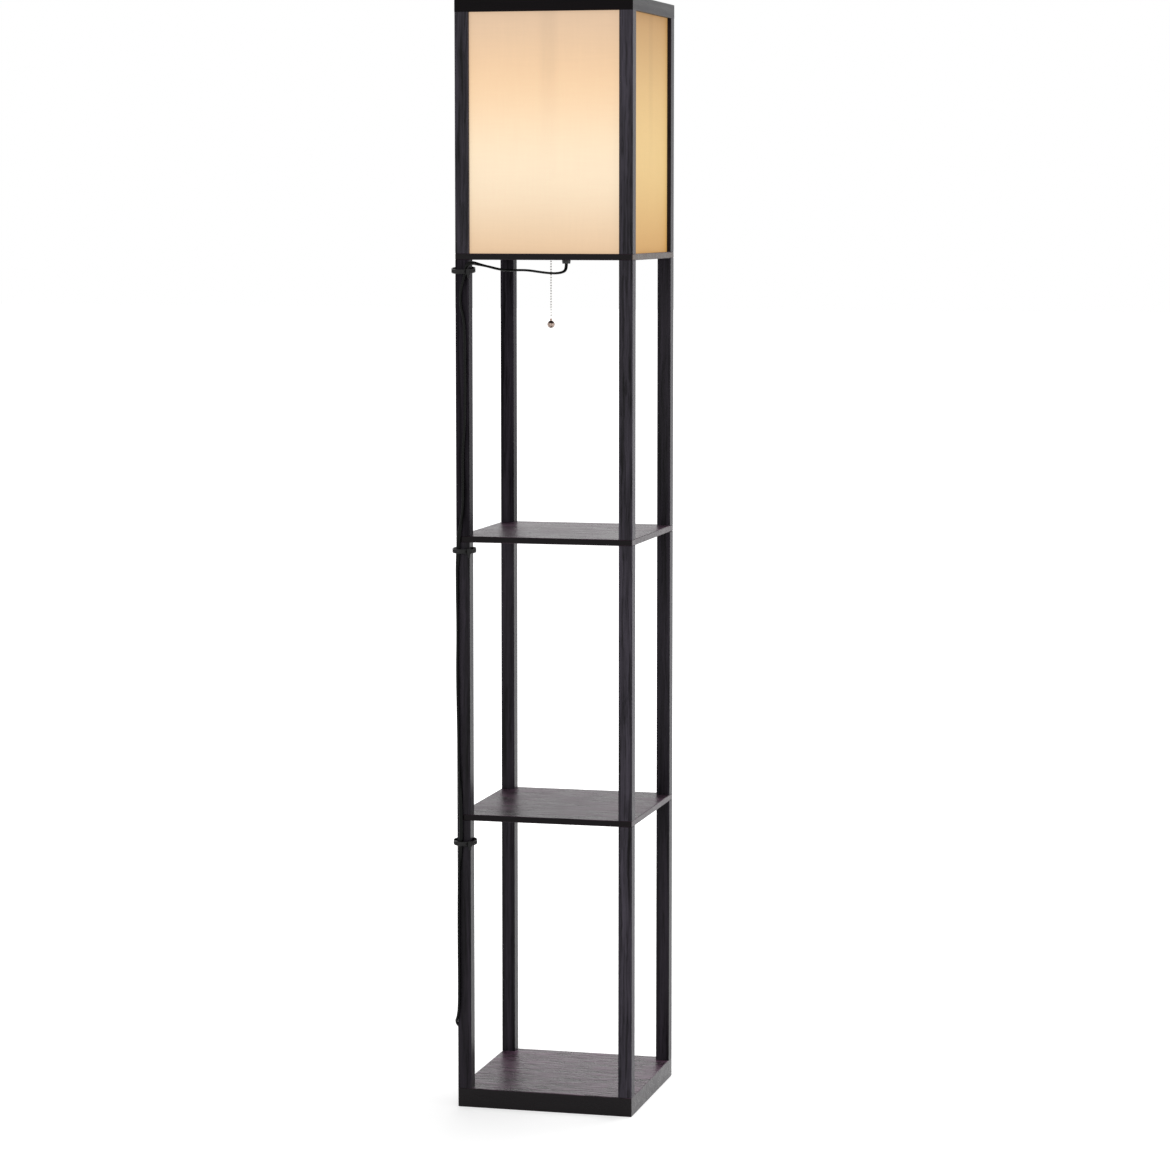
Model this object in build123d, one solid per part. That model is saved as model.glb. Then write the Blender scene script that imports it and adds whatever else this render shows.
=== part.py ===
from build123d import *
import math
import os

# Shelf floor lamp: four square posts in tiers between full-size boards, a box shade of four
# translucent panels held in grooves, a pull-chain lamp holder on the top board, and a flat
# twin lead that hangs under that board and runs down the front-left post.
# Millimetres. Origin at the centre of the base's underside, +Z up, the front faces -Y.

# ------------------------------------------------------------------ frame and boards
FOOTPRINT = 260.0           # width and depth of every board
BASE_THICKNESS = 28.0
BOARD_THICKNESS = 9.0       # both shelves and the board that carries the lamp holder
BAY_HEIGHT = 395.0          # clear height between boards, the same in all three bays
SHADE_HEIGHT = 340.0        # visible height of the shade, board to top frame
RAIL_HEIGHT = 20.0          # top frame
RAIL_WIDTH = 20.0
POST_WIDTH = 20.0
EDGE_BREAK = 0.8            # chamfer on the long edges of the wood

# ------------------------------------------------------------------ joints in the wood
STUD_RADIUS = 3.0           # M6
STUD_ENTRY = 12.0           # how far a stud or bolt runs into an insert
STUD_HOLE_CLEARANCE = 0.3
INSERT_RADIUS = 4.5
INSERT_LENGTH = 14.0
BOLT_HEAD_RADIUS = 5.5
BOLT_HEAD_HEIGHT = 5.0
BOLT_SOCKET_RADIUS = 2.3
BOLT_SOCKET_DEPTH = 3.0
BOLT_HEAD_CLEARANCE = 1.5
BOLT_HEAD_SINK = 2.0        # from the underside of the base up to the bolt's head
DOWEL_RADIUS = 3.0
DOWEL_ENTRY = 10.0          # into the shade post, and into the top frame

# ------------------------------------------------------------------ shade panels
PANEL_THICKNESS = 1.2
PANEL_RECESS = 6.0          # from the outside of the posts to the outside of the panel
PANEL_ENTRY = 2.5           # how far a panel's edge sits in a post's or rail's groove
PANEL_GAP = 0.2             # on each side of the panel in its groove
GROOVE_DEPTH = 3.0
BOARD_GROOVE_DEPTH = 2.0

# ------------------------------------------------------------------ lamp holder
NIPPLE_RADIUS = 5.0         # threaded tube through the board
NIPPLE_BORE = 3.5
NIPPLE_HOLE_CLEARANCE = 0.2
GLAND_RADIUS = 6.2
GLAND_HEIGHT = 7.0
GLAND_TIP_RADIUS = 5.7
GLAND_THREAD_DEPTH = 4.0
WIRE_RADIUS = 0.9
WIRE_SPACING = 2.4
WIRE_HOLE_RADIUS = 2.2
WASHER_RADIUS = 11.0
WASHER_THICKNESS = 1.0
HOLDER_RADIUS = 20.0
HOLDER_WALL = 1.5
CAP_FOOT_RADIUS = 13.0
CAP_CONE_HEIGHT = 11.0
CAP_HEIGHT = 21.0
CAP_FLOOR = 3.0
HUB_RADIUS = 7.5
HUB_HEIGHT = 15.0
NIPPLE_ENTRY = 11.0         # nipple above the washer
SHELL_HEIGHT = 41.0
SHELL_LIP = 5.0
SHELL_LIP_HEIGHT = 2.0
SWITCH_GAP = 0.2            # switch body inside the shell
SWITCH_HEIGHT = 27.0
SWITCH_ROOF = 3.0
SWITCH_FLOOR = 7.0
SWITCH_SLOT = 15.0          # width of the cavity for the rotor, the lever and its spring
PIN_X = -9.0
PIN_RISE = 17.0             # above the underside of the switch body
PIN_RADIUS = 1.5
PIN_LENGTH = 20.0
PIVOT_CLEARANCE = 0.05
ROTOR_RADIUS = 6.0
ROTOR_TEETH = 8
ROTOR_WIDTH = 4.0
TOOTH_SIZE = 1.4
LEVER_HUB_RADIUS = 4.0
LEVER_HUB_LENGTH = 4.5
LEVER_WIDTH = 5.0           # of the arm and its fork
LEVER_THICKNESS = 3.0
ROTOR_GAP = 1.5             # between the rotor's teeth and the arm, which starts outside them
FORK_SLOT = 2.2
FORK_INSIDE = 2.0           # from the chain to the root of the fork's slot
FORK_OUTSIDE = 6.0          # from the chain to the fork's tip
SPRING_WIRE = 0.7
SPRING_TURNS = 3
SPRING_GAP = 0.3            # between the lever's hub and the first turn
SLOT_WIDTH = 6.0            # in the shell, where the lever comes out
SLOT_HEIGHT = 14.5
THREAD_PITCH = 3.6          # Edison screw
CAP_THREAD_TURNS = 5
SHELL_THREAD_TURNS = 3
THREAD_DEPTH = 0.9
SCREW_SHELL_WALL = 0.5
CAP_THREAD_RADIUS = 12.75   # mean radius on the bulb
THREAD_GAP = 0.5
CONTACT_WIDTH = 5.0
CONTACT_LENGTH = 12.0
CONTACT_THICKNESS = 0.5
CONTACT_DOME_RADIUS = 2.4
CONTACT_DOME_HEIGHT = 2.5

# ------------------------------------------------------------------ bulb
BULB_TIP_RADIUS = 4.5
BULB_TIP_HEIGHT = 1.5
BULB_INSULATOR_HEIGHT = 3.5
BULB_SKIRT = 4.0
BULB_WALL = 1.0
BULB_HOUSING_HEIGHT = 36.0
BULB_HOUSING_FOOT = 13.4
GLOBE_RADIUS = 30.0
GLOBE_CUT = 21.0            # the globe's open rim, below its centre

# ------------------------------------------------------------------ pull chain
CHAIN_GAP = 3.0             # from the holder's side to the chain's axis
BEAD_RADIUS = 1.25
BEAD_PITCH = 3.9
LINK_RADIUS = 0.4
CHAIN_DROP = 95.0           # from the board's underside to the ball's centre
CHAIN_SWING_DROP = 4.0      # from the board's underside to the bead it swings about
BALL_RADIUS = 5.5
FERRULE_RADIUS = 1.7
FERRULE_LENGTH = 3.0
STOP_RADIUS = 2.0
STOP_GAP = 0.6
UPPER_BEAD_GAP = 4.0        # clear below the lever's arm
LINK_GAP = 0.15
BUSHING_RADIUS = 2.8
BUSHING_BORE = 1.9
BUSHING_FLANGE_RADIUS = 3.6
BUSHING_FLANGE = 1.2
BUSHING_RISE = 0.8

# ------------------------------------------------------------------ cable ties and lead
TIE_INNER_RADIUS = 15.8
TIE_THICKNESS = 1.4
TIE_HEIGHT = 6.6
TIE_OFFSET = 2.2            # from the post's axis to the ring's centre, towards the lead
TIE_HEAD = (4.2, 6.4, 8.6)  # outward, round the post, up
TIE_HEAD_ANGLE = -55.0
TIE_TAIL = (0.9, 3.4, 9.0)
TIE_DROPS = {"top": (14.8, 7.0), "middle": (11.8, 2.0), "bottom": (32.0, 4.0)}  # below a board, tilt

LEAD_RADIUS = 2.3           # round tube with the section of the flat twin lead, 5.6 x 3.4
FLOOR = 2.35                # height of the lead's centre where it lies on the floor
COIL_CENTRE = (-54.0, 167.7)
COIL_OUTER = 32.0           # radius of the first half turn
COIL_STEP = 5.4             # between one turn and the next
COIL_LAYER = 5.2            # between the two layers
COIL_HALF_TURNS = 8
COIL_CLIMB = 4              # the half turn that climbs to the upper layer
COIL_LEAD_IN = 8.0
COIL_SAMPLES = 900
COIL_ENTRY = COIL_CENTRE[1] - COIL_OUTER
PLUG_AXIS = (152.0, 6.85)   # Y and Z of the plug, which lies behind the base
LEAD_ROUTE = [
    (0.0, 0.0, 1224.0),         # out of the gland
    (0.0, 0.0, 1218.5),
    (-2.0, -2.2, 1212.6),
    (-9.5, -10.6, 1210.2),      # lowest point of the sag under the board
    (-19.0, -21.2, 1210.4),
    (-31.0, -34.7, 1212.4),
    (-43.0, -48.2, 1214.9),
    (-53.0, -59.4, 1215.6),
    (-66.0, -73.9, 1215.0),
    (-77.5, -86.8, 1217.0),
    (-88.0, -98.6, 1220.6),
    (-98.0, -109.8, 1223.8),
    (-104.2, -119.0, 1226.0),   # round the inner edge of the front-left post
    (-105.0, -129.4, 1226.6),
    (-109.2, -134.6, 1225.4),
    (-113.8, -133.8, 1219.0),   # inside the top tie
    (-115.2, -133.5, 1208.0),
    (-119.2, -133.5, 1194.0),
    (-121.7, -133.4, 1181.0),
    (-121.0, -133.4, 1165.0),
    (-116.6, -133.4, 1148.0),
    (-114.8, -133.4, 1126.0),
    (-114.8, -133.4, 1010.0),
    (-116.2, -133.4, 984.0),
    (-118.6, -133.4, 960.0),
    (-118.2, -133.4, 880.0),
    (-120.8, -133.4, 858.0),
    (-125.4, -133.4, 836.0),
    (-126.4, -133.4, 812.0),    # inside the middle tie
    (-128.2, -133.4, 776.0),
    (-127.0, -133.4, 700.0),
    (-128.2, -133.4, 640.0),
    (-126.8, -133.4, 560.0),
    (-126.2, -133.4, 500.0),
    (-123.2, -133.4, 440.0),
    (-123.2, -133.4, 390.0),    # inside the bottom tie
    (-127.2, -133.4, 350.0),
    (-128.2, -133.4, 270.0),
    (-127.6, -133.4, 190.0),
    (-128.2, -133.6, 152.0),
    (-129.6, -134.2, 136.0),
    (-132.9, -132.6, 126.0),    # round the outer edge of the post
    (-132.5, -121.0, 120.5),
    (-132.5, -109.0, 112.0),
    (-132.5, -101.0, 94.0),     # down the side of the post and the base
    (-132.5, -97.0, 60.0),
    (-132.6, -95.0, 28.0),
    (-134.4, -89.0, 9.0),
    (-136.8, -74.0, 2.8),
    (-137.0, -50.0, FLOOR),     # on the floor beside the base
    (-135.4, 0.0, FLOOR),
    (-135.0, 66.0, FLOOR),
    (-136.2, 108.0, FLOOR),
    (-136.6, 128.0, FLOOR),     # round the back-left corner of the base
    (-130.6, 138.9, FLOOR),
    (-120.2, 144.9, FLOOR),
    (-105.5, 143.6, FLOOR),
    (-91.5, 138.8, FLOOR),
    (-77.0, COIL_ENTRY, FLOOR),
    (COIL_CENTRE[0] - COIL_LEAD_IN, COIL_ENTRY, FLOOR),
]
COIL_TAIL = [                   # from the coil's upper layer down to the plug
    (COIL_CENTRE[0], COIL_ENTRY, FLOOR + COIL_LAYER),
    (-31.0, COIL_ENTRY, FLOOR + COIL_LAYER),
    (-11.0, 140.0, 7.3),
    (6.0, 148.4, 7.0),
    (22.0, *PLUG_AXIS),
    (36.0, *PLUG_AXIS),
]
ARC_SHARE = 0.45            # of the shorter run beside each bend

PLUG_WIDTH = 35.3
PLUG_THICKNESS = 13.7
PLUG_FULL_LENGTH = 22.0     # at full width
PLUG_LENGTH = 36.0
PLUG_REAR_WIDTH = 15.0
PLUG_EDGE = 3.0
PLUG_BEVEL = 1.6
NECK_LENGTH = 22.0
NECK_RADIUS = 5.6
NECK_TIP_RADIUS = 4.2
NECK_RIBS = 5
NECK_RIB_WIDTH = 2.0
NECK_RIB_DEPTH = 0.9
PLUG_PIN_RADIUS = 2.0
PLUG_PIN_LENGTH = 19.0
PLUG_PIN_SPACING = 19.0
PLUG_PIN_ROOT = 8.0

# ------------------------------------------------------------------ levels and lines
HALF = FOOTPRINT / 2
POST_LINE = HALF - POST_WIDTH / 2
POST_INSIDE = HALF - POST_WIDTH
PANEL_LINE = HALF - PANEL_RECESS - PANEL_THICKNESS / 2
BASE_TOP = BASE_THICKNESS
LOWER_SHELF = BASE_TOP + BAY_HEIGHT
LOWER_SHELF_TOP = LOWER_SHELF + BOARD_THICKNESS
UPPER_SHELF = LOWER_SHELF_TOP + BAY_HEIGHT
UPPER_SHELF_TOP = UPPER_SHELF + BOARD_THICKNESS
LAMP_BOARD = UPPER_SHELF_TOP + BAY_HEIGHT
LAMP_BOARD_TOP = LAMP_BOARD + BOARD_THICKNESS
SHADE_TOP = LAMP_BOARD_TOP + SHADE_HEIGHT
TOP = SHADE_TOP + RAIL_HEIGHT

GLAND_BOTTOM = LAMP_BOARD - GLAND_HEIGHT
HOLDER_BASE = LAMP_BOARD_TOP + WASHER_THICKNESS
SWITCH_BASE = HOLDER_BASE + HUB_HEIGHT
SWITCH_TOP = SWITCH_BASE + SWITCH_HEIGHT
SWITCH_RADIUS = HOLDER_RADIUS - HOLDER_WALL - SWITCH_GAP
SHELL_BASE = HOLDER_BASE + CAP_HEIGHT
SHELL_TOP = SHELL_BASE + SHELL_HEIGHT
PIN_Z = SWITCH_BASE + PIN_RISE
BULB_BASE = SWITCH_TOP + CONTACT_DOME_HEIGHT
BULB_THREAD = BULB_BASE + BULB_TIP_HEIGHT + BULB_INSULATOR_HEIGHT
BULB_CAP_TOP = BULB_THREAD + CAP_THREAD_TURNS * THREAD_PITCH + BULB_SKIRT
HOUSING_TOP = BULB_CAP_TOP + BULB_HOUSING_HEIGHT
GLOBE_CENTRE = HOUSING_TOP + GLOBE_CUT
GLOBE_RIM = math.sqrt(GLOBE_RADIUS**2 - GLOBE_CUT**2)
CHAIN_X = -HOLDER_RADIUS - CHAIN_GAP
SWING_Z = LAMP_BOARD - CHAIN_SWING_DROP
BALL_Z = LAMP_BOARD - CHAIN_DROP

CORNERS = {
    "front_left": (-1, -1),
    "front_right": (1, -1),
    "back_left": (-1, 1),
    "back_right": (1, 1),
}
TIERS = {
    "lower": (BASE_TOP, LOWER_SHELF),
    "middle": (LOWER_SHELF_TOP, UPPER_SHELF),
    "upper": (UPPER_SHELF_TOP, LAMP_BOARD),
}
QUARTER_TURNS = {"front": 0, "right": 90, "back": 180, "left": 270}


# ------------------------------------------------------------------ helpers
def span(x0, x1, y0, y1, z0, z1):
    """A box between two corners."""
    centre = Pos((x0 + x1) / 2, (y0 + y1) / 2, (z0 + z1) / 2)
    return centre * Box(x1 - x0, y1 - y0, z1 - z0)


def rod(x, y, z0, z1, radius):
    """An upright cylinder."""
    return Pos(x, y, (z0 + z1) / 2) * Cylinder(radius, z1 - z0)


def turned(points, x=0.0, y=0.0):
    """A solid of revolution about an upright axis, from (radius, height) points."""
    face = make_face(Plane.XZ * Polyline(*points, close=True))
    return Pos(x, y, 0) * revolve(face, Axis.Z)


def cross_rod(x, z, y0, y1, radius):
    """A cylinder along Y."""
    return Pos(x, (y0 + y1) / 2, z) * Rot(X=90) * Cylinder(radius, y1 - y0)


def at_corners(make):
    """make(x, y) at the axis of each post."""
    return [make(sx * POST_LINE, sy * POST_LINE) for sx, sy in CORNERS.values()]


def board(z0, z1):
    """A full-size board with broken edges."""
    plain = span(-HALF, HALF, -HALF, HALF, z0, z1)
    return chamfer(plain.edges(), EDGE_BREAK)


def bored(body, z0, z1, radius):
    """The body with a hole at the axis of each post."""
    for hole in at_corners(lambda x, y: rod(x, y, z0, z1, radius)):
        body -= hole
    return body


# ------------------------------------------------------------------ wood
def base_board():
    body = board(0, BASE_TOP)
    body = bored(body, 0, BASE_TOP, STUD_RADIUS + STUD_HOLE_CLEARANCE)
    head_seat = BOLT_HEAD_SINK + BOLT_HEAD_HEIGHT
    return bored(body, 0, head_seat, BOLT_HEAD_RADIUS + BOLT_HEAD_CLEARANCE)


def shelf(z0, z1):
    return bored(board(z0, z1), z0, z1, STUD_RADIUS + STUD_HOLE_CLEARANCE)


def lamp_board():
    body = shelf(LAMP_BOARD, LAMP_BOARD_TOP)
    body -= rod(0, 0, LAMP_BOARD, LAMP_BOARD_TOP, NIPPLE_RADIUS + NIPPLE_HOLE_CLEARANCE)
    body -= rod(CHAIN_X, 0, LAMP_BOARD, LAMP_BOARD_TOP, BUSHING_RADIUS)
    reach = POST_INSIDE + GROOVE_DEPTH
    half_groove = PANEL_THICKNESS / 2 + PANEL_GAP
    groove = span(
        -reach, reach, -PANEL_LINE - half_groove, -PANEL_LINE + half_groove,
        LAMP_BOARD_TOP - BOARD_GROOVE_DEPTH, LAMP_BOARD_TOP,
    )
    for turn in QUARTER_TURNS.values():
        body -= Rot(Z=turn) * groove
    return body


def post(x, y, z0, z1):
    """A square post with an insert's hole in each end."""
    half = POST_WIDTH / 2
    body = span(x - half, x + half, y - half, y + half, z0, z1)
    body = chamfer(body.edges().filter_by(Axis.Z), EDGE_BREAK)
    body -= rod(x, y, z0, z0 + INSERT_LENGTH, INSERT_RADIUS)
    return body - rod(x, y, z1 - INSERT_LENGTH, z1, INSERT_RADIUS)


def shade_post(sx, sy):
    """A post beside the shade: grooves for two panels, an insert below and a dowel above."""
    x, y = sx * POST_LINE, sy * POST_LINE
    half = POST_WIDTH / 2
    body = span(x - half, x + half, y - half, y + half, LAMP_BOARD_TOP, SHADE_TOP)
    body = chamfer(body.edges().filter_by(Axis.Z), EDGE_BREAK)
    body -= rod(x, y, LAMP_BOARD_TOP, LAMP_BOARD_TOP + INSERT_LENGTH, INSERT_RADIUS)
    body -= rod(x, y, SHADE_TOP - DOWEL_ENTRY, SHADE_TOP, DOWEL_RADIUS)
    near, far = sorted((sx * POST_INSIDE, sx * (POST_INSIDE + GROOVE_DEPTH)))
    low, high = sorted((sy * POST_INSIDE, sy * (POST_INSIDE + GROOVE_DEPTH)))
    half_groove = PANEL_THICKNESS / 2 + PANEL_GAP
    line_x, line_y = sx * PANEL_LINE, sy * PANEL_LINE
    body -= span(near, far, line_y - half_groove, line_y + half_groove, LAMP_BOARD_TOP, SHADE_TOP)
    return body - span(
        line_x - half_groove, line_x + half_groove, low, high, LAMP_BOARD_TOP, SHADE_TOP
    )


def top_rail(turn):
    """One mitred side of the top frame, with a groove for its panel and half of two dowel holes."""
    inside = HALF - RAIL_WIDTH
    outline = Polyline((-HALF, -HALF), (HALF, -HALF), (inside, -inside), (-inside, -inside), close=True)
    body = Pos(0, 0, SHADE_TOP) * extrude(make_face(outline), RAIL_HEIGHT)
    long_edges = body.edges().filter_by(Axis.X).sort_by(Axis.Z)
    body = chamfer(long_edges[-2:], EDGE_BREAK)
    reach = POST_INSIDE + GROOVE_DEPTH
    half_groove = PANEL_THICKNESS / 2 + PANEL_GAP
    body -= span(
        -reach, reach, -PANEL_LINE - half_groove, -PANEL_LINE + half_groove,
        SHADE_TOP, SHADE_TOP + GROOVE_DEPTH,
    )
    for x in (-POST_LINE, POST_LINE):
        body -= rod(x, -POST_LINE, SHADE_TOP, SHADE_TOP + DOWEL_ENTRY, DOWEL_RADIUS)
    return Rot(Z=turn) * body


def shade_panel(turn):
    half_width = POST_INSIDE + PANEL_ENTRY
    half_panel = PANEL_THICKNESS / 2
    sheet = span(
        -half_width, half_width, -PANEL_LINE - half_panel, -PANEL_LINE + half_panel,
        LAMP_BOARD_TOP - BOARD_GROOVE_DEPTH, SHADE_TOP + PANEL_ENTRY,
    )
    return Rot(Z=turn) * sheet


# ------------------------------------------------------------------ fasteners
def base_bolt(x, y):
    head_top = BOLT_HEAD_SINK + BOLT_HEAD_HEIGHT
    bolt = rod(x, y, BOLT_HEAD_SINK, head_top, BOLT_HEAD_RADIUS)
    bolt += rod(x, y, head_top, BASE_TOP + STUD_ENTRY, STUD_RADIUS)
    socket = RegularPolygon(BOLT_SOCKET_RADIUS, 6)
    return bolt - Pos(x, y, BOLT_HEAD_SINK) * extrude(socket, BOLT_SOCKET_DEPTH)


def joint_stud(x, y, z0, z1):
    return rod(x, y, z0 - STUD_ENTRY, z1 + STUD_ENTRY, STUD_RADIUS)


def insert(x, y, z0):
    sleeve = rod(x, y, z0, z0 + INSERT_LENGTH, INSERT_RADIUS)
    return sleeve - rod(x, y, z0, z0 + INSERT_LENGTH, STUD_RADIUS)


def insert_levels():
    """The lower end of every insert on one corner."""
    levels = [z for z0, z1 in TIERS.values() for z in (z0, z1 - INSERT_LENGTH)]
    return levels + [LAMP_BOARD_TOP]


# ------------------------------------------------------------------ lamp holder
def cord_gland():
    thread_top = LAMP_BOARD - GLAND_THREAD_DEPTH
    return turned([
        (WIRE_HOLE_RADIUS, GLAND_BOTTOM),
        (GLAND_TIP_RADIUS, GLAND_BOTTOM),
        (GLAND_RADIUS, thread_top),
        (GLAND_RADIUS, LAMP_BOARD),
        (NIPPLE_RADIUS, LAMP_BOARD),
        (NIPPLE_RADIUS, thread_top),
        (WIRE_HOLE_RADIUS, thread_top),
    ])


def threaded_nipple():
    low = LAMP_BOARD - GLAND_THREAD_DEPTH
    high = HOLDER_BASE + NIPPLE_ENTRY
    return rod(0, 0, low, high, NIPPLE_RADIUS) - rod(0, 0, low, high, NIPPLE_BORE)


def nipple_washer():
    disc = rod(0, 0, LAMP_BOARD_TOP, HOLDER_BASE, WASHER_RADIUS)
    return disc - rod(0, 0, LAMP_BOARD_TOP, HOLDER_BASE, NIPPLE_RADIUS + NIPPLE_HOLE_CLEARANCE)


def inner_wires():
    half = WIRE_SPACING / 2
    return [rod(x, 0, GLAND_BOTTOM, SWITCH_BASE, WIRE_RADIUS) for x in (-half, half)]


def holder_cap():
    cone_top = HOLDER_BASE + CAP_CONE_HEIGHT
    floor = HOLDER_BASE + CAP_FLOOR
    inner = HOLDER_RADIUS - HOLDER_WALL
    return turned([
        (NIPPLE_RADIUS, HOLDER_BASE),
        (CAP_FOOT_RADIUS, HOLDER_BASE),
        (HOLDER_RADIUS, cone_top),
        (HOLDER_RADIUS, SHELL_BASE),
        (inner, SHELL_BASE),
        (inner, cone_top),
        (CAP_FOOT_RADIUS - HOLDER_WALL, floor),
        (HUB_RADIUS, floor),
        (HUB_RADIUS, SWITCH_BASE),
        (NIPPLE_RADIUS, SWITCH_BASE),
    ])


def holder_shell():
    inner = HOLDER_RADIUS - HOLDER_WALL
    lip = HOLDER_RADIUS - SHELL_LIP
    body = turned([
        (inner, SHELL_BASE),
        (HOLDER_RADIUS, SHELL_BASE),
        (HOLDER_RADIUS, SHELL_TOP),
        (lip, SHELL_TOP),
        (lip, SHELL_TOP - SHELL_LIP_HEIGHT),
        (inner, SHELL_TOP - SHELL_LIP_HEIGHT),
    ])
    half = SLOT_WIDTH / 2
    return body - span(-HOLDER_RADIUS, PIN_X, -half, half, SHELL_BASE, SHELL_BASE + SLOT_HEIGHT)


def switch_body():
    body = rod(0, 0, SWITCH_BASE, SWITCH_TOP, SWITCH_RADIUS)
    half = SWITCH_SLOT / 2
    body -= span(
        -HOLDER_RADIUS, PIN_X + ROTOR_RADIUS + TOOTH_SIZE, -half, half,
        SWITCH_BASE + SWITCH_FLOOR, SWITCH_TOP - SWITCH_ROOF,
    )
    return body - cross_rod(PIN_X, PIN_Z, -PIN_LENGTH / 2, PIN_LENGTH / 2, PIN_RADIUS)


def lever_pin():
    return cross_rod(PIN_X, PIN_Z, -PIN_LENGTH / 2, PIN_LENGTH / 2, PIN_RADIUS)


def switch_rotor():
    """The ratchet wheel that carries the moving contact, on the lever's pin beside its hub."""
    wheel = cross_rod(PIN_X, PIN_Z, -ROTOR_WIDTH, 0, ROTOR_RADIUS)
    notch = Pos(ROTOR_RADIUS, -ROTOR_WIDTH / 2, 0) * Box(TOOTH_SIZE, ROTOR_WIDTH, TOOTH_SIZE)
    for k in range(ROTOR_TEETH):
        wheel -= Pos(PIN_X, 0, PIN_Z) * Rot(Y=360 * k / ROTOR_TEETH) * notch
    return wheel - cross_rod(PIN_X, PIN_Z, -ROTOR_WIDTH, 0, PIN_RADIUS + PIVOT_CLEARANCE)


def switch_lever():
    """Hub on the pin, an arm through the shell's slot, and a fork that carries the chain."""
    half = LEVER_WIDTH / 2
    arm_half = LEVER_THICKNESS / 2
    slot_half = FORK_SLOT / 2
    tip, root = CHAIN_X - FORK_OUTSIDE, CHAIN_X + FORK_INSIDE
    past_rotor = PIN_X - ROTOR_RADIUS - ROTOR_GAP
    body = cross_rod(PIN_X, PIN_Z, 0, LEVER_HUB_LENGTH, LEVER_HUB_RADIUS)
    body += span(past_rotor, PIN_X, 0, half, PIN_Z - arm_half, PIN_Z + arm_half)
    body += span(tip, past_rotor, -half, half, PIN_Z - arm_half, PIN_Z + arm_half)
    body -= span(tip, root, -slot_half, slot_half, PIN_Z - arm_half, PIN_Z + arm_half)
    return body - cross_rod(PIN_X, PIN_Z, 0, LEVER_HUB_LENGTH, PIN_RADIUS + PIVOT_CLEARANCE)


def lever_spring():
    """Return spring on the lever's pin, its turns closed up between the hub and the cavity's wall."""
    inner = PIN_RADIUS + PIVOT_CLEARANCE
    start = LEVER_HUB_LENGTH + SPRING_GAP
    pitch = (SWITCH_SLOT / 2 - start) / SPRING_TURNS
    points = [(inner, start)]
    for k in range(SPRING_TURNS):
        foot = start + k * pitch
        points += [(inner + SPRING_WIRE / 2, foot), (inner + SPRING_WIRE, foot + pitch / 2)]
    points += [(inner + SPRING_WIRE / 2, SWITCH_SLOT / 2), (inner, SWITCH_SLOT / 2)]
    return Pos(PIN_X, 0, PIN_Z) * Rot(X=-90) * turned(points)


def thread_points(mean, z0, turns):
    """A rolled thread's profile: crests and roots with flats between them."""
    crest, root = mean + THREAD_DEPTH / 2, mean - THREAD_DEPTH / 2
    quarter = THREAD_PITCH / 4
    points = []
    for turn in range(turns):
        start = z0 + turn * THREAD_PITCH
        points += [(root, start), (root, start + quarter)]
        points += [(crest, start + 2 * quarter), (crest, start + 3 * quarter)]
    return points


def screw_shell():
    """Thin metal shell with the rolled Edison thread, standing on the switch body."""
    mean = CAP_THREAD_RADIUS + THREAD_GAP
    foot = mean + THREAD_DEPTH / 2
    inner = [(foot, SWITCH_TOP), *thread_points(mean, BULB_THREAD, SHELL_THREAD_TURNS)]
    outer = [(r + SCREW_SHELL_WALL, z) for r, z in reversed(inner)]
    return turned(inner + outer)


def centre_contact():
    half = CONTACT_LENGTH / 2
    strip_top = SWITCH_TOP + CONTACT_THICKNESS
    body = span(-half, half, -CONTACT_WIDTH / 2, CONTACT_WIDTH / 2, SWITCH_TOP, strip_top)
    return body + rod(0, 0, SWITCH_TOP, BULB_BASE, CONTACT_DOME_RADIUS)


# ------------------------------------------------------------------ bulb
def bulb_contact():
    return rod(0, 0, BULB_BASE, BULB_BASE + BULB_TIP_HEIGHT, BULB_TIP_RADIUS)


def bulb_cap():
    foot = BULB_BASE + BULB_TIP_HEIGHT
    outer = [(BULB_TIP_RADIUS, foot), *thread_points(CAP_THREAD_RADIUS, BULB_THREAD, CAP_THREAD_TURNS)]
    outer.append((CAP_THREAD_RADIUS, BULB_CAP_TOP - BULB_SKIRT))
    outer.append((CAP_THREAD_RADIUS, BULB_CAP_TOP))
    bore = CAP_THREAD_RADIUS - THREAD_DEPTH
    inner = [(bore, BULB_CAP_TOP), (bore, BULB_THREAD), (0, BULB_THREAD), (0, foot)]
    return turned(outer + inner)


def bulb_housing():
    return turned([
        (BULB_HOUSING_FOOT - BULB_WALL, BULB_CAP_TOP),
        (BULB_HOUSING_FOOT, BULB_CAP_TOP),
        (GLOBE_RIM, HOUSING_TOP),
        (GLOBE_RIM - BULB_WALL, HOUSING_TOP),
    ])


def bulb_globe():
    globe = Sphere(GLOBE_RADIUS) - Sphere(GLOBE_RADIUS - BULB_WALL)
    below = Pos(0, 0, -GLOBE_CUT - GLOBE_RADIUS) * Cylinder(2 * GLOBE_RADIUS, 2 * GLOBE_RADIUS)
    return Pos(0, 0, GLOBE_CENTRE) * (globe - below)


# ------------------------------------------------------------------ pull chain
def beads(first, count):
    """Beads down from the first one's height, on the chain's axis."""
    return [Pos(CHAIN_X, 0, first - k * BEAD_PITCH) * Sphere(BEAD_RADIUS) for k in range(count)]


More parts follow.
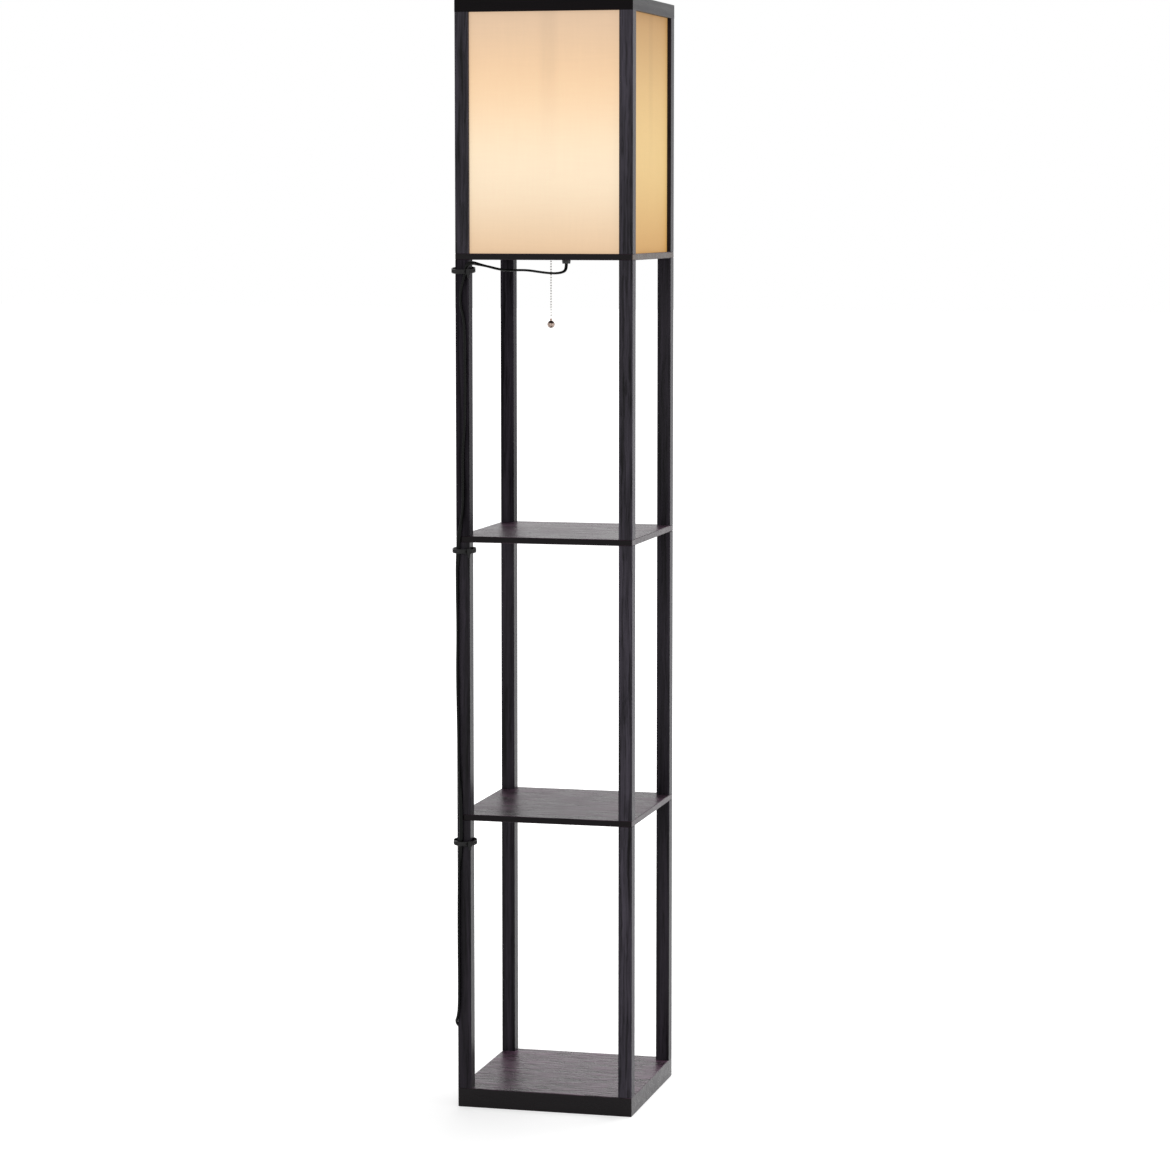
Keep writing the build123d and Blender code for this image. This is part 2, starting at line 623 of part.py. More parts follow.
def chain_upper():
    """From the ball that sits on the lever's fork down to the bead that the rest swings about."""
    arm_half = LEVER_THICKNESS / 2
    stop = PIN_Z + arm_half + STOP_GAP + STOP_RADIUS
    highest = PIN_Z - arm_half - UPPER_BEAD_GAP - BEAD_RADIUS
    count = math.floor((highest - SWING_Z) / BEAD_PITCH)
    body = rod(CHAIN_X, 0, SWING_Z + BEAD_RADIUS + LINK_GAP, stop, LINK_RADIUS)
    body += Pos(CHAIN_X, 0, stop) * Sphere(STOP_RADIUS)
    for bead in beads(SWING_Z + count * BEAD_PITCH, count):
        body += bead
    return body


def chain_lower():
    ferrule_top = BALL_Z + BALL_RADIUS + FERRULE_LENGTH
    count = math.floor((SWING_Z - ferrule_top - BEAD_RADIUS) / BEAD_PITCH) + 1
    body = rod(CHAIN_X, 0, ferrule_top, SWING_Z, LINK_RADIUS)
    for bead in beads(SWING_Z, count):
        body += bead
    return body


def pull_ball():
    ferrule_top = BALL_Z + BALL_RADIUS + FERRULE_LENGTH
    ball = Pos(CHAIN_X, 0, BALL_Z) * Sphere(BALL_RADIUS)
    return ball + rod(CHAIN_X, 0, BALL_Z, ferrule_top, FERRULE_RADIUS)


def chain_bushing():
    low = LAMP_BOARD - BUSHING_FLANGE
    high = LAMP_BOARD_TOP + BUSHING_RISE
    return turned([
        (BUSHING_BORE, low),
        (BUSHING_FLANGE_RADIUS, low),
        (BUSHING_FLANGE_RADIUS, LAMP_BOARD),
        (BUSHING_RADIUS, LAMP_BOARD),
        (BUSHING_RADIUS, high),
        (BUSHING_BORE, high),
    ], CHAIN_X, 0)


# ------------------------------------------------------------------ ties, lead and plug
def cable_tie(level, tilt):
    """A loose tie round the front-left post and the lead, with its head at the front right."""
    outer = TIE_INNER_RADIUS + TIE_THICKNESS
    band = Cylinder(outer, TIE_HEIGHT) - Cylinder(TIE_INNER_RADIUS, TIE_HEIGHT)
    out, round_post, up = TIE_HEAD
    head = Pos(outer + out / 2 - TIE_THICKNESS / 2, 0, 0) * Box(out, round_post, up)
    thick, wide, long = TIE_TAIL
    tail = Pos(outer + out - TIE_THICKNESS, 0, -long / 2) * Box(thick, wide, long)
    band += Rot(Z=TIE_HEAD_ANGLE) * (fillet(head.edges(), TIE_THICKNESS / 2) + tail)
    return Pos(-POST_LINE, -POST_LINE - TIE_OFFSET, level) * Rot(X=tilt) * band


def bent(points):
    """A line through the points, with each arc as large as its two runs allow."""
    points = [Vector(*p) for p in points]
    radii = []
    for a, b, c in zip(points, points[1:], points[2:]):
        turn = math.radians((b - a).get_angle(c - b))
        shorter = min((b - a).length, (c - b).length)
        radii.append(ARC_SHARE * shorter / math.tan(turn / 2))
    print("lead radii, mm:", [round(r, 1) for r in radii])
    return FilletPolyline(*points, radius=radii)


def tube(path):
    """The lead's tube along a path, with its volume set against its section times its length."""
    section = Plane(origin=path @ 0, z_dir=path % 0) * Circle(LEAD_RADIUS)
    lead = sweep(section, path=path)
    expected = math.pi * LEAD_RADIUS**2 * path.length
    print(f"tube: {path.length:.0f} mm long, volume {lead.volume:.0f}, section x length {expected:.0f}")
    return lead


def mains_lead():
    """From the gland to the coil."""
    return tube(bent(LEAD_ROUTE))


def half_turn(start, side, across, rise):
    """Two tangent arcs from start to the point across from it, bulging to one side in X."""
    radius = abs(across) / 2
    bulge = math.sqrt(radius**2 + rise**2 / 4)
    middle = start + Vector(side * bulge, across / 2, rise / 2)
    end = start + Vector(0, across, rise)
    first = TangentArc(start, middle, tangent=(side, 0, 0))
    return [first, TangentArc(middle, end, tangent=first % 1)]


def lead_coil():
    """The put-away length: half turns in, one that climbs, half turns out, and on to the plug."""
    here = Vector(*LEAD_ROUTE[-1]) + Vector(COIL_LEAD_IN, 0, 0)
    edges = [Line(Vector(*LEAD_ROUTE[-1]), here)]
    for k in range(COIL_HALF_TURNS):
        side = 1 - 2 * (k % 2)
        inward = COIL_CLIMB - abs(COIL_CLIMB - k)
        radius = COIL_OUTER - inward * COIL_STEP / 2
        rise = COIL_LAYER if k == COIL_CLIMB else 0.0
        edges += half_turn(here, side, 2 * radius * side, rise)
        here = edges[-1] @ 1
    path = Wire([*edges, *bent(COIL_TAIL).edges()])
    spots = [tuple(path @ (i / COIL_SAMPLES)) for i in range(COIL_SAMPLES + 1)]
    apart = math.ceil(3 * math.pi * LEAD_RADIUS * COIL_SAMPLES / path.length)
    pairs = ((a, b) for i, a in enumerate(spots) for b in spots[i + apart:])
    nearest = min(math.dist(a, b) for a, b in pairs)
    print(f"coil: least gap to itself {nearest - 2 * LEAD_RADIUS:.2f} mm")
    return tube(path)


def plug_places():
    """The neck's tip on the lead, and where the plug's rear and its pin face stand in X."""
    tip = Vector(*COIL_TAIL[-1])
    rear = tip.X + NECK_LENGTH
    return tip, rear, rear + PLUG_LENGTH


def plug_body():
    """Flat two-pin plug lying behind the base, its neck towards the lead."""
    end, rear, front = plug_places()
    full = front - PLUG_FULL_LENGTH
    wide = PLUG_WIDTH / 2
    narrow = PLUG_REAR_WIDTH / 2
    outline = Polyline(
        (front, -wide), (full, -wide), (rear, -narrow), (rear, narrow), (full, wide), (front, wide),
        close=True,
    )
    body = Pos(0, end.Y, end.Z - PLUG_THICKNESS / 2) * extrude(make_face(outline), PLUG_THICKNESS)
    body = fillet(body.edges().filter_by(Axis.Z), PLUG_EDGE)
    body = chamfer(body.faces().sort_by(Axis.Z)[-1].edges(), PLUG_BEVEL)
    profile = [(0, 0), (NECK_TIP_RADIUS, 0)]
    pitch = NECK_LENGTH / (NECK_RIBS + 1)
    for k in range(1, NECK_RIBS + 1):
        along = k * pitch
        radius = NECK_TIP_RADIUS + (NECK_RADIUS - NECK_TIP_RADIUS) * along / NECK_LENGTH
        low, high = along - NECK_RIB_WIDTH / 2, along + NECK_RIB_WIDTH / 2
        shrunk = radius - NECK_RIB_DEPTH
        profile += [(radius, low), (shrunk, low), (shrunk, high), (radius, high)]
    profile += [(NECK_RADIUS, NECK_LENGTH), (0, NECK_LENGTH)]
    body += Pos(end.X, end.Y, end.Z) * Rot(Y=90) * turned(profile)
    for pin in plug_pins():
        body -= pin
    return body


def plug_pins():
    end, rear, front = plug_places()
    length = PLUG_PIN_LENGTH + PLUG_PIN_ROOT
    pin = chamfer(Cylinder(PLUG_PIN_RADIUS, length).edges().sort_by(Axis.Z)[-1], PLUG_PIN_RADIUS / 2)
    middle = front - PLUG_PIN_ROOT + length / 2
    half = PLUG_PIN_SPACING / 2
    return [Pos(middle, end.Y + y, end.Z) * Rot(Y=90) * pin for y in (-half, half)]


# ------------------------------------------------------------------ every node
def nodes():
    made = {
        "base_board": base_board(),
        "shelf_lower": shelf(LOWER_SHELF, LOWER_SHELF_TOP),
        "shelf_upper": shelf(UPPER_SHELF, UPPER_SHELF_TOP),
        "lamp_board": lamp_board(),
    }
    for tier, (z0, z1) in TIERS.items():
        for corner, (sx, sy) in CORNERS.items():
            made[f"post_{tier}_{corner}"] = post(sx * POST_LINE, sy * POST_LINE, z0, z1)
    for corner, (sx, sy) in CORNERS.items():
        made[f"shade_post_{corner}"] = shade_post(sx, sy)
    for name, turn in QUARTER_TURNS.items():
        made[f"top_rail_{name}"] = top_rail(turn)
        made[f"shade_panel_{name}"] = shade_panel(turn)

    made["base_bolts"] = at_corners(base_bolt)
    boards = [(LOWER_SHELF, LOWER_SHELF_TOP), (UPPER_SHELF, UPPER_SHELF_TOP), (LAMP_BOARD, LAMP_BOARD_TOP)]
    made["joint_studs"] = [s for z in boards for s in at_corners(lambda x, y: joint_stud(x, y, *z))]
    made["post_inserts"] = [i for z in insert_levels() for i in at_corners(lambda x, y: insert(x, y, z))]
    low, high = SHADE_TOP - DOWEL_ENTRY, SHADE_TOP + DOWEL_ENTRY
    made["top_dowels"] = at_corners(lambda x, y: rod(x, y, low, high, DOWEL_RADIUS))

    for make in (
        cord_gland, threaded_nipple, nipple_washer, inner_wires, holder_cap, holder_shell,
        switch_body, lever_pin, switch_rotor, switch_lever, lever_spring, screw_shell,
        centre_contact, bulb_contact, bulb_cap, bulb_housing, bulb_globe, chain_bushing,
        chain_upper, chain_lower, pull_ball, mains_lead, lead_coil, plug_body, plug_pins,
    ):
        made[make.__name__] = make()
    tie_boards = {"top": LAMP_BOARD, "middle": UPPER_SHELF, "bottom": LOWER_SHELF}
    for name, (drop, tilt) in TIE_DROPS.items():
        made[f"cable_tie_{name}"] = cable_tie(tie_boards[name] - drop, tilt)
    return made


os.makedirs("parts", exist_ok=True)
for name, shape in nodes().items():
    solids = shape if isinstance(shape, list) else shape.solids()
    whole = solids[0] if len(solids) == 1 else Compound(children=list(solids))
    export_step(whole, f"parts/{name}.step")
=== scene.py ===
import math
from collections import namedtuple

import bmesh
import bpy
from mathutils import Matrix, Vector


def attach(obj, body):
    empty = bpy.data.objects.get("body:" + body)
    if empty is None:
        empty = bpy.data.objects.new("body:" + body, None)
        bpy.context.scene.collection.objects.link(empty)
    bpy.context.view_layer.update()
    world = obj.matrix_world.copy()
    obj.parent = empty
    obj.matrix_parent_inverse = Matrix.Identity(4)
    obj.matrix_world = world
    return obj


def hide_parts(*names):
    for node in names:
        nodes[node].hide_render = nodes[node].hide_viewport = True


# Shelf floor lamp: black-stained wood, a box shade of glowing cream panels, and a flat twin lead.
# Metres, in the frame of the CAD model: origin under the base, +Z up, the front faces -Y.

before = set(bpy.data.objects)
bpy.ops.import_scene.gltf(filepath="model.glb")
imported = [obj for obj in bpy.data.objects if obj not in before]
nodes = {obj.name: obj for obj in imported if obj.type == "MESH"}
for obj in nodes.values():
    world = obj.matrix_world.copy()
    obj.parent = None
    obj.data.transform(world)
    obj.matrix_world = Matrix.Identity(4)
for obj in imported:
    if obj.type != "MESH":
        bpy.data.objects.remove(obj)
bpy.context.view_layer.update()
STAND = "stand"
MM = 0.001
WHITE = (1, 1, 1, 1)

# ------------------------------------------------------------------ camera
CAMERA_PLACE = (1.3176, -5.0857, 1.3060)
CAMERA_YAW = 14.23          # degrees, towards -X from straight ahead
CAMERA_PITCH = 5.983        # degrees below the horizon
CAMERA_LENS = 111.03        # mm
CAMERA_SENSOR = 36.0        # mm


def make_camera():
    data = bpy.data.cameras.new("camera")
    data.lens = CAMERA_LENS
    data.sensor_width = CAMERA_SENSOR
    camera = bpy.data.objects.new("camera", data)
    camera.location = CAMERA_PLACE
    camera.rotation_euler = (math.radians(90 - CAMERA_PITCH), 0, math.radians(CAMERA_YAW))
    bpy.context.scene.collection.objects.link(camera)
    bpy.context.scene.camera = camera


# ------------------------------------------------------------------ node trees
class Graph:
    """A node tree, with short calls to add and link its nodes."""

    def __init__(self, tree):
        self.nodes = tree.nodes
        self.links = tree.links

    def add(self, kind, inputs=None, **settings):
        node = self.nodes.new(kind)
        for key, value in settings.items():
            setattr(node, key, value)
        for key, value in (inputs or {}).items():
            self.put(node.inputs[key], value)
        return node

    def put(self, socket, value):
        if isinstance(value, bpy.types.NodeSocket):
            self.links.new(value, socket)
        else:
            socket.default_value = value

    def math(self, operation, a, b=0.0, c=0.0):
        node = self.add("ShaderNodeMath", operation=operation)
        for socket, value in zip(node.inputs, (a, b, c)):
            self.put(socket, value)
        return node.outputs[0]

    def remap(self, value, low, high, to_low=0.0, to_high=1.0):
        inputs = {
            "Value": value, "From Min": low, "From Max": high, "To Min": to_low, "To Max": to_high,
        }
        return self.add("ShaderNodeMapRange", inputs, clamp=True).outputs["Result"]


class Tree(Graph):
    """The node tree of a new material."""

    def __init__(self, name):
        self.material = bpy.data.materials.new(name)
        self.material.use_nodes = True
        super().__init__(self.material.node_tree)
        self.nodes.clear()
        self.output = self.nodes.new("ShaderNodeOutputMaterial")
        self.coords = self.nodes.new("ShaderNodeTexCoord").outputs["Object"]

    def shade(self, shader):
        self.links.new(shader, self.output.inputs["Surface"])
        return self.material

    def principled(self, **inputs):
        """Finish the material with one principled shader; _ stands for a space in its inputs."""
        named = {key.replace("_", " "): value for key, value in inputs.items()}
        return self.shade(self.add("ShaderNodeBsdfPrincipled", named).outputs[0])

    def scaled(self, scale, vector=None):
        """Object coordinates, or another vector, times a scale for each axis."""
        mapping = self.add("ShaderNodeMapping", {"Vector": vector or self.coords})
        mapping.inputs["Scale"].default_value = scale
        return mapping.outputs["Vector"]

    def noise(self, vector, detail, roughness=0.55):
        """Noise from 0 to 1 with one feature to each unit of the vector."""
        inputs = {"Vector": vector, "Scale": 1.0, "Detail": detail, "Roughness": roughness}
        return self.add("ShaderNodeTexNoise", inputs).outputs["Fac"]

    def mix(self, factor, a, b, blend="MIX"):
        node = self.add("ShaderNodeMix", data_type="RGBA", blend_type=blend)
        self.put(node.inputs["Factor"], factor)
        self.put(node.inputs[6], a)
        self.put(node.inputs[7], b)
        return node.outputs[2]

    def bump(self, height, distance, strength, normal=None):
        inputs = {"Height": height, "Distance": distance, "Strength": strength}
        if normal:
            inputs["Normal"] = normal
        return self.add("ShaderNodeBump", inputs).outputs["Normal"]

    def axis(self, vector, index):
        return self.add("ShaderNodeSeparateXYZ", {0: vector}).outputs[index]


def rgb(red, green, blue):
    """An sRGB colour from 0 to 255 as linear RGBA."""
    def linear(value):
        value /= 255
        return value / 12.92 if value <= 0.04045 else ((value + 0.055) / 1.055) ** 2.4
    return (linear(red), linear(green), linear(blue), 1.0)


def paint(material, *names):
    for name in names:
        mesh = nodes[name].data
        mesh.materials.clear()
        mesh.materials.append(material)


# ------------------------------------------------------------------ wood
WOOD_IOR = 1.19
BASE_IOR = 1.26
# lower, for the top rails painted in shade
SHADED_RAIL_IOR = 1.13
# lower, for the two posts whose sides are painted in shade
SHADED_POST_IOR = 1.10
SWAY = 0.005                # metres, how far the grain wanders
SWAY_WAVES = 22.0           # to the metre
FACE_SPAN = (0.3, 0.7)      # a normal's share along an axis, on faces beside it and facing it
FINE_NOISE = (5.0, 0.62)    # detail and roughness, of the streaks and of the figure
BROAD_NOISE = (2.0, 0.5)
STREAK_SPAN = (0.28, 0.72)  # the part of the streaks' noise that shows
STREAK_SHARE = 0.55         # streaks and figure in the pattern that tints the wood
FIGURE_SHARE = 0.45
TINT_SPAN = (0.15, 0.85)
PORE = rgb(4, 3, 4)
PORE_BELOW = 0.06           # from the grain's pore level to a pore's darkest, and to its end
PORE_ABOVE = 0.05
PORE_KEEPS = 0.5            # of the wood's colour, where a pore is darkest
SPECKLE = (0.1, 0.8, 0.7, 1.0)      # pattern from and to, and how much colour end grain keeps
TOP_BUMP = 0.8
EDGE_BUMP = 0.12
SHEEN_SPAN = (0.1, 0.9)
SHEEN_BELOW = 0.04          # how far the roughness goes below and above its middle
SHEEN_ABOVE = 0.08

# fine streaks and broad figure, each across and along, are to the metre; relief is in metres
Grain = namedtuple("Grain", "fine broad rings pore_level relief")
POST = Grain((330, 9), (90, 3), 3.0, 0.40, 0.00010)
BOARD = Grain((210, 26), (34, 11), 7.0, 0.40, 0.00065)
THICK_BOARD = Grain((190, 26), (38, 11), 8.0, 0.40, 0.00120)


def swayed(tree):
    """Object coordinates pushed about by a slow noise, so that the grain wanders."""
    inputs = {"Vector": tree.scaled((SWAY_WAVES,) * 3), "Scale": 1.0, "Detail": 2.0}
    push = tree.add("ShaderNodeTexNoise", inputs).outputs["Color"]
    centred = tree.add("ShaderNodeVectorMath", {0: push, 1: (0.5, 0.5, 0.5)}, operation="SUBTRACT")
    inputs = {0: centred.outputs[0], 1: (SWAY,) * 3, 2: tree.coords}
    return tree.add("ShaderNodeVectorMath", inputs, operation="MULTIPLY_ADD").outputs[0]


def drawn_out(tree, vector, along, counts, noise):
    """Noise drawn out along one axis, with a count of features to the metre across and along."""
    across, lengthwise = counts
    scale = [across] * 3
    scale["XYZ".index(along)] = lengthwise
    return tree.noise(tree.scaled(scale, vector), *noise)


def facing(tree, normal, index):
    """1 on faces that look along an axis, either way, and 0 on faces beside it."""
    return tree.remap(tree.math("ABSOLUTE", tree.axis(normal, index)), *FACE_SPAN)


def wood(name, along, dark, pale, rough, grain, edge=None, end=None, ior=WOOD_IOR):
    """Black-stained wood: growth rings and fine streaks along one axis, open pores, worn sheen.

    A board's top and its end grain are painted paler than its long edges: painted sheen on the top,
    painted light from the side on the end grain and painted shade on the long edges.
    """
    tree = Tree(name)
    place = swayed(tree)
    streaks = drawn_out(tree, place, along, grain.fine, FINE_NOISE)
    growth = drawn_out(tree, place, along, grain.broad, BROAD_NOISE)
    figure = tree.math("PINGPONG", tree.math("MULTIPLY", growth, grain.rings), 1.0)
    streaked = tree.remap(streaks, *STREAK_SPAN, 0.0, STREAK_SHARE)
    pattern = tree.math("MULTIPLY_ADD", figure, FIGURE_SHARE, streaked)
    colour = tree.mix(tree.remap(pattern, *TINT_SPAN), rgb(*dark), rgb(*pale))
    level = grain.pore_level
    pores = tree.remap(streaks, level - PORE_BELOW, level + PORE_ABOVE, PORE_KEEPS, 1.0)
    colour = tree.mix(pores, PORE, colour)
    strength = TOP_BUMP
    # painted light by facing: paler top as painted sheen, darker long edges as painted shade, paler
    # end grain as painted light from the side
    if edge:
        normal = tree.add("ShaderNodeNewGeometry").outputs["Normal"]
        top = facing(tree, normal, 2)
        speckled = tree.mix(tree.remap(pattern, *SPECKLE), PORE, rgb(*end))
        sides = tree.mix(facing(tree, normal, 0), rgb(*edge), speckled)
        colour = tree.mix(top, sides, colour)
        strength = tree.remap(top, 0.0, 1.0, EDGE_BUMP, TOP_BUMP)
    roughness = tree.remap(pattern, *SHEEN_SPAN, rough - SHEEN_BELOW, rough + SHEEN_ABOVE)
    bumped = tree.bump(pores, grain.relief, strength)
    bumped = tree.bump(pattern, grain.relief, strength, bumped)
    return tree.principled(Base_Color=colour, Roughness=roughness, Normal=bumped, IOR=ior)


POST_STARTS = ("post_lower", "post_middle", "post_upper", "shade_post")
POST_DARK = (6, 5, 7)
# board tops painted paler and more mauve than the posts as painted sheen; BOARD_EDGE is the long
# edges' painted shade
BOARD_TINTS = ((20, 12, 17), (72, 53, 66))
BOARD_ROUGH = 0.29
BOARD_EDGE = (15, 10, 13)


def dress_wood():
    # lit and shaded copies of one post wood: the front posts painted paler as painted light, the
    # two upper left posts darker at their sides, with a lower IOR, as painted shade
    upright = wood("black_wood_post", "Z", POST_DARK, (52, 47, 55), 0.32, POST)
    shaded_post = wood("black_wood_shaded_post", "Z", POST_DARK, (54, 49, 57), 0.40, POST, ior=SHADED_POST_IOR)
    lit_post = wood("black_wood_lit_post", "Z", (7, 6, 8), (75, 70, 80), 0.34, POST)
    shelf = wood(
        "black_wood_shelf", "X", *BOARD_TINTS, BOARD_ROUGH, BOARD,
        edge=BOARD_EDGE, end=(76, 67, 73),
    )
    # the lamp board's end grain is painted warm as painted glow of the lit shade panels above it
    lamp_board = wood(
        "black_wood_lamp_board", "X", *BOARD_TINTS, BOARD_ROUGH, BOARD,
        edge=BOARD_EDGE, end=(74, 60, 52),
    )
    # the base's top is painted paler than the shelves', with a higher IOR, as painted sheen
    base = wood(
        "black_wood_base", "X", (32, 21, 28), (92, 68, 85), 0.27, THICK_BOARD,
        edge=BOARD_EDGE, end=(44, 38, 43), ior=BASE_IOR,
    )
    # lit and shaded copies of one rail wood: front and back rails painted darker, with a lower IOR,
    # as painted shade, the left and right rails paler than them as painted light
    dark = wood("black_wood_frame", "X", (6, 4, 5), (16, 11, 14), 0.40, POST, ior=SHADED_RAIL_IOR)
    deep = wood("black_wood_frame_side", "Y", (14, 12, 14), (34, 31, 36), 0.34, POST)
    for name in nodes:
        if name.startswith(POST_STARTS):
            in_front = name.endswith("front_right") or name.startswith("shade_post_front")
            paint(lit_post if in_front else upright, name)
    paint(shaded_post, "post_upper_front_left", "post_upper_back_left")
    paint(shelf, "shelf_lower", "shelf_upper")
    paint(lamp_board, "lamp_board")
    paint(base, "base_board")
    paint(dark, "top_rail_front", "top_rail_back")
    paint(deep, "top_rail_left", "top_rail_right")


# ------------------------------------------------------------------ shade
PANEL_BOTTOM = 1.231
PANEL_TOP = 1.580
SHEET = (0.36, 0.36, 0.36, 1)       # its own colour, as a share of the one that it glows in, so that it carries the painted glow and the painted holder shadow too
SHEET_ROUGH = 0.62
FIBRES = (260, 260, 18)     # features to the metre along each axis
CROSS_FIBRES = (22, 22, 300)
CLOUDS = (14, 14, 9)
CLOUD_SHARE = 0.4
VEIL = (0.5, 0.9, 0.98, 1.015)      # pattern from and to, and how much light it lets through
STRUT_PLACE = 0.006         # centre of the soft upright shadow that the holder throws
STRUT_HALF = 0.017
STRUT_CORE = 0.4            # the share of its half that is fully dark
STRUT_RISE = (0.30, 0.75, 0.0, 0.055)   # height from and to, and how dark it is there
WEAVE_RELIEF = 0.00008
WEAVE_BUMP = 0.5
# the side panels glow less than the front and back ones: painted shade
FRONT_GLOW = 0.73
SIDE_GLOW = 0.53
# painted glow of the bulb, up the panel from its bottom (0) to its top (1); the side panels are
# painted dimmer and more ochre than the front and back ones, as painted shade
FRONT_STOPS = [
    (0.0, (231, 196, 158)), (0.36, (254, 231, 199)), (0.70, (249, 213, 172)),
    (1.0, (226, 194, 162)),
]
SIDE_STOPS = [
    (0.0, (213, 160, 84)), (0.36, (241, 203, 133)), (0.70, (231, 190, 124)),
    (1.0, (198, 151, 90)),
]


def shade_material(name, across, glow, stops):
    """Lamp-lit translucent sheet: brightest at the bulb's height, with faint laid fibres."""
    tree = Tree(name)
    height = tree.remap(tree.axis(tree.coords, 2), PANEL_BOTTOM, PANEL_TOP)
    ramp = tree.add("ShaderNodeValToRGB", {"Fac": height})
    ramp.color_ramp.interpolation = "CARDINAL"
    marks = ramp.color_ramp.elements
    marks[0].color = rgb(*stops[0][1])
    marks[1].color = rgb(*stops[-1][1])
    for position, colour in stops[1:-1]:
        marks.new(position).color = rgb(*colour)
    fibres = tree.noise(tree.scaled(FIBRES), 4.0)
    cross = tree.noise(tree.scaled(CROSS_FIBRES), 4.0)
    weave = tree.math("MULTIPLY", tree.math("ADD", fibres, cross), 0.5)
    cloudy = tree.noise(tree.scaled(CLOUDS), 2.0)
    veil = tree.remap(tree.math("MULTIPLY_ADD", cloudy, CLOUD_SHARE, weave), *VEIL)
    beside = tree.math("SUBTRACT", tree.axis(tree.coords, across), STRUT_PLACE)
    offset = tree.math("ABSOLUTE", beside)
    strut = tree.remap(offset, STRUT_HALF * STRUT_CORE, STRUT_HALF, 1.0, 0.0)
    shadow = tree.math("MULTIPLY", strut, tree.remap(height, *STRUT_RISE))
    veil = tree.math("SUBTRACT", veil, shadow)
    colour = tree.mix(1.0, ramp.outputs["Color"], veil, blend="MULTIPLY")
    surface = tree.mix(1.0, colour, SHEET, blend="MULTIPLY")
    return tree.principled(
        Base_Color=surface, Roughness=SHEET_ROUGH, Emission_Color=colour, Emission_Strength=glow,
        Normal=tree.bump(weave, WEAVE_RELIEF, WEAVE_BUMP),
    )


def dress_shade():
    front = shade_material("shade_front", 0, FRONT_GLOW, FRONT_STOPS)
    side = shade_material("shade_side", 1, SIDE_GLOW, SIDE_STOPS)
    paint(front, "shade_panel_front", "shade_panel_back")
    paint(side, "shade_panel_left", "shade_panel_right")


# ------------------------------------------------------------------ metal and plastic
MIDDLE = (0.3, 0.7)         # the part of a noise that a fitting's material uses
METAL_GRAIN = 900.0         # features to the metre
METAL_RELIEF = 0.00002
METAL_BUMP = 0.5
METAL_WEAR = 0.12           # added to the roughness where the metal is worn
METAL_TINT = 0.86           # the mottle's second colour, as a share of its first
PLASTIC_GRAIN = 1800.0
PLASTIC_CLOUDS = 40.0
PLASTIC_RELIEF = 0.00003
PLASTIC_BUMP = 0.6
PLASTIC_BELOW = 0.05        # how far the roughness goes below and above its middle
PLASTIC_ABOVE = 0.08
PLASTIC_TINT = 1.25
PLASTIC_IOR = 1.46
GLASS_CLOUDS = 120.0
GLASS_TINT = 0.96
GLASS_ROUGH = 0.35


def even_noise(tree, count, detail):
    """Noise alike along every axis, with a count of features to the metre."""
    return tree.noise(tree.scaled((count,) * 3), detail)


def mottled(tree, pattern, colour, share):
    """An sRGB colour that goes to a share of itself with a pattern."""
    first = rgb(*colour)
    second = tuple(share * c for c in first[:3]) + (1,)
    return tree.mix(tree.remap(pattern, *MIDDLE), first, second)


def metal(name, colour, roughness):
    tree = Tree(name)
    wear = even_noise(tree, METAL_GRAIN, 3.0)
    return tree.principled(
        Base_Color=mottled(tree, wear, colour, METAL_TINT), Metallic=1.0,
        Roughness=tree.remap(wear, *MIDDLE, roughness, roughness + METAL_WEAR),
        Normal=tree.bump(wear, METAL_RELIEF, METAL_BUMP),
    )


def plastic(name, colour, roughness, grain=PLASTIC_GRAIN, relief=PLASTIC_RELIEF, ior=PLASTIC_IOR):
    """Moulded plastic with a fine spark-eroded surface."""
    tree = Tree(name)
    fine = even_noise(tree, grain, 2.0)
    broad = even_noise(tree, PLASTIC_CLOUDS, 3.0)
    smoothest, roughest = roughness - PLASTIC_BELOW, roughness + PLASTIC_ABOVE
    return tree.principled(
        Base_Color=mottled(tree, broad, colour, PLASTIC_TINT),
        Roughness=tree.remap(broad, *MIDDLE, smoothest, roughest),
        Normal=tree.bump(fine, relief, PLASTIC_BUMP), IOR=ior,
    )


def glowing(name, colour, strength):
    tree = Tree(name)
    tint = mottled(tree, even_noise(tree, GLASS_CLOUDS, 2.0), colour, GLASS_TINT)
    return tree.principled(
        Base_Color=tint, Roughness=GLASS_ROUGH, Emission_Color=tint, Emission_Strength=strength,
    )


def dress_fittings():
    zinc = metal("zinc_steel", (176, 180, 184), 0.34)
    spring = metal("spring_steel", (150, 152, 156), 0.28)
    brass = metal("brass", (206, 170, 96), 0.26)
    nickel = metal("nickel", (206, 204, 200), 0.16)
    dark_nickel = metal("dark_nickel", (160, 142, 132), 0.14)
    black = plastic("holder_plastic", (24, 24, 25), 0.38)
    switch = plastic("switch_plastic", (52, 42, 34), 0.42)
    insulation = plastic("core_insulation", (96, 66, 42), 0.40)
    bulb_body = plastic("bulb_body", (226, 224, 218), 0.42)
    diffuser = glowing("bulb_diffuser", (255, 226, 178), 0.8)
    beech = wood("beech", "Z", (150, 112, 72), (190, 150, 104), 0.5, POST)
    paint(zinc, "base_bolts", "joint_studs", "nipple_washer", "lever_pin")
    paint(spring, "lever_spring", "switch_lever")
    paint(brass, "post_inserts", "threaded_nipple", "screw_shell", "centre_contact", "bulb_contact")
    paint(nickel, "bulb_cap", "chain_bushing", "chain_upper", "chain_lower", "plug_pins")
    paint(dark_nickel, "pull_ball")
    paint(black, "cord_gland", "holder_cap", "holder_shell", "plug_body")
    paint(switch, "switch_body", "switch_rotor")
    paint(insulation, "inner_wires")
    paint(bulb_body, "bulb_housing")
    paint(diffuser, "bulb_globe")
    paint(beech, "top_dowels")


